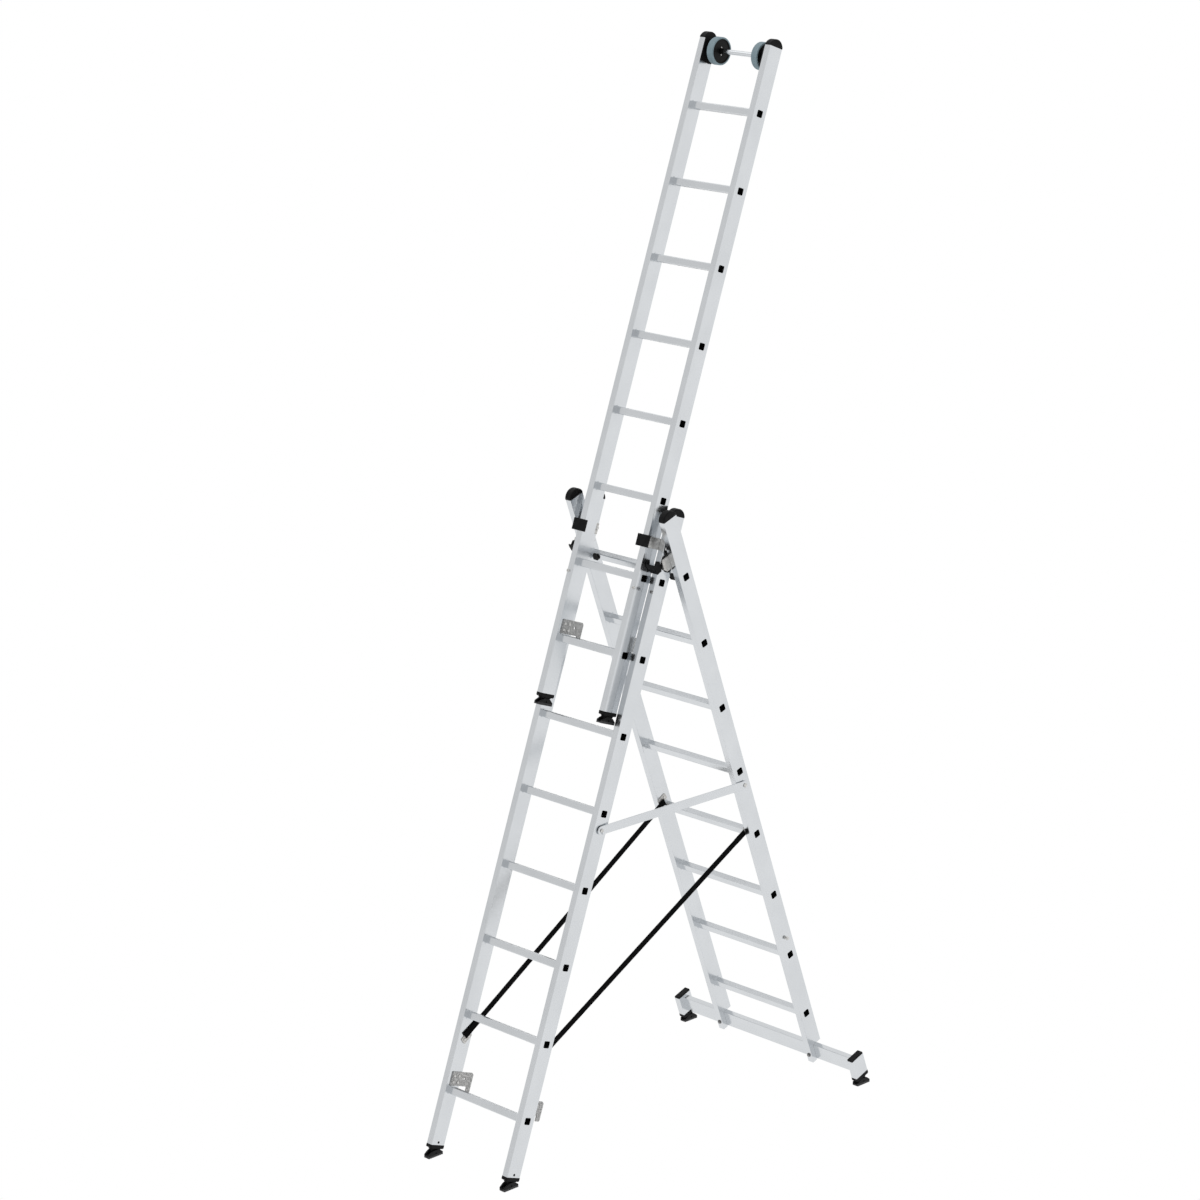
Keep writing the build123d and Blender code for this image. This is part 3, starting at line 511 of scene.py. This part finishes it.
# ---- screws on the rollers' inner faces ----------------------------------------------------
def make_roller_screw(side, angle):
    """A small pan-head screw with a cross recess, set in the hub's face."""
    low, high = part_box(side + "_roller_hub")
    sign = 1.0 if side == "right" else -1.0
    tyre_low, tyre_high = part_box(side + "_roller_tyre")
    face_x = (tyre_low.x if side == "right" else tyre_high.x) + sign * ROLLER_FACE_INSET
    middle = (low + high) / 2
    turn = math.radians(angle)
    centre_y = middle.y + ROLLER_SCREW_CIRCLE * math.cos(turn)
    centre_z = middle.z + ROLLER_SCREW_CIRCLE * math.sin(turn)
    centre = Vector((face_x, centre_y, centre_z))
    bm = bmesh.new()

    def add_ring(height, radii):
        """A ring of vertices at a height over the hub, one for each radius."""
        ring = []
        for i, r in enumerate(radii):
            a = 2 * math.pi * i / len(radii)
            ring.append(bm.verts.new(centre + Vector((-sign * height, r * math.cos(a), r * math.sin(a)))))
        return ring

    rings = []
    for height, share in ROLLER_SCREW_HEAD:
        rings.append(add_ring(height, [ROLLER_SCREW_RADIUS * share] * ROLLER_SCREW_SEGMENTS))
    cross = []
    for i in range(ROLLER_SCREW_SEGMENTS):
        cross.append(RECESS_RADIUS * (RECESS_ARM if (i // 3) % 2 == 0 else RECESS_WAIST))
    rings.append(add_ring(RECESS_FLOOR, cross))
    bridge(bm, rings)
    bm.faces.new(rings[-1])
    bm.faces.new(rings[0][::-1])
    bmesh.ops.recalc_face_normals(bm, faces=bm.faces)
    mesh = finish_mesh(bm, "roller_screw")
    mesh.materials.append(STEEL)
    screw = add_object(f"{side}_roller_screw_{round(angle)}", mesh)
    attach(screw, side + "_roller")


for side in SIDES:
    for angle in ROLLER_SCREW_ANGLES:
        make_roller_screw(side, angle)


# ---- studio --------------------------------------------------------------------------------
def make_floor():
    """A white floor, so large that its edge is never seen, and without shadows."""
    mesh = bpy.data.meshes.new("floor")
    half = FLOOR_HALF
    corners = [(-half, -half, 0), (half, -half, 0), (half, half, 0), (-half, half, 0)]
    mesh.from_pydata(corners, [], [(0, 1, 2, 3)])
    floor = add_object("floor", mesh)
    m = Nodes("studio_floor")
    m.set(Base_Color=(0.0, 0.0, 0.0, 1.0), Roughness=1.0, Specular_IOR_Level=0.0)
    m.set(Emission_Color=(1.0, 1.0, 1.0, 1.0), Emission_Strength=1.0)
    mesh.materials.append(m.material)


def make_world():
    """Light from all round, a little dimmer from in front, so that the narrow faces read darker.

    The camera itself sees a plain white backdrop instead."""
    world = bpy.data.worlds.new("studio")
    bpy.context.scene.world = world
    world.use_nodes = True
    tree = world.node_tree
    background = tree.nodes["Background"]
    place = tree.nodes.new("ShaderNodeTexCoord")
    split = tree.nodes.new("ShaderNodeSeparateXYZ")
    tree.links.new(place.outputs["Generated"], split.inputs["Vector"])
    ramp = tree.nodes.new("ShaderNodeValToRGB")
    set_stops(ramp.color_ramp, [(position, (level, level, level)) for position, level in WORLD_LEVELS])
    spread = tree.nodes.new("ShaderNodeMapRange")
    spread.inputs["From Min"].default_value = -1.0
    tree.links.new(split.outputs["Y"], spread.inputs["Value"])
    tree.links.new(spread.outputs["Result"], ramp.inputs["Fac"])
    tree.links.new(ramp.outputs["Color"], background.inputs["Color"])
    background.inputs["Strength"].default_value = WORLD_STRENGTH
    backdrop = tree.nodes.new("ShaderNodeBackground")
    backdrop.inputs["Color"].default_value = (1.0, 1.0, 1.0, 1.0)
    seen = tree.nodes.new("ShaderNodeLightPath")
    mix = tree.nodes.new("ShaderNodeMixShader")
    tree.links.new(seen.outputs["Is Camera Ray"], mix.inputs["Fac"])
    tree.links.new(background.outputs["Background"], mix.inputs[1])
    tree.links.new(backdrop.outputs["Background"], mix.inputs[2])
    tree.links.new(mix.outputs["Shader"], tree.nodes["World Output"].inputs["Surface"])


def make_overhead_light():
    data = bpy.data.lights.new("overhead", "AREA")
    data.shape = "RECTANGLE"
    data.size, data.size_y = LIGHT_SIZE
    data.energy = LIGHT_POWER
    light = add_object("overhead", data)
    light.location = LIGHT_PLACE
    aim = Vector(LIGHT_AIM) - Vector(LIGHT_PLACE)
    light.rotation_euler = aim.to_track_quat("-Z", "Y").to_euler()


def make_camera():
    data = bpy.data.cameras.new("camera")
    data.lens = CAMERA_LENS
    data.sensor_width = CAMERA_SENSOR
    data.clip_end = CAMERA_CLIP_END
    camera = add_object("camera", data)
    camera.location = CAMERA_PLACE
    camera.rotation_euler = (math.radians(90.0 + CAMERA_PITCH), 0.0, math.radians(CAMERA_YAW))
    bpy.context.scene.camera = camera


make_floor()
make_world()
make_overhead_light()
make_camera()
bpy.context.scene.view_settings.view_transform = "Standard"
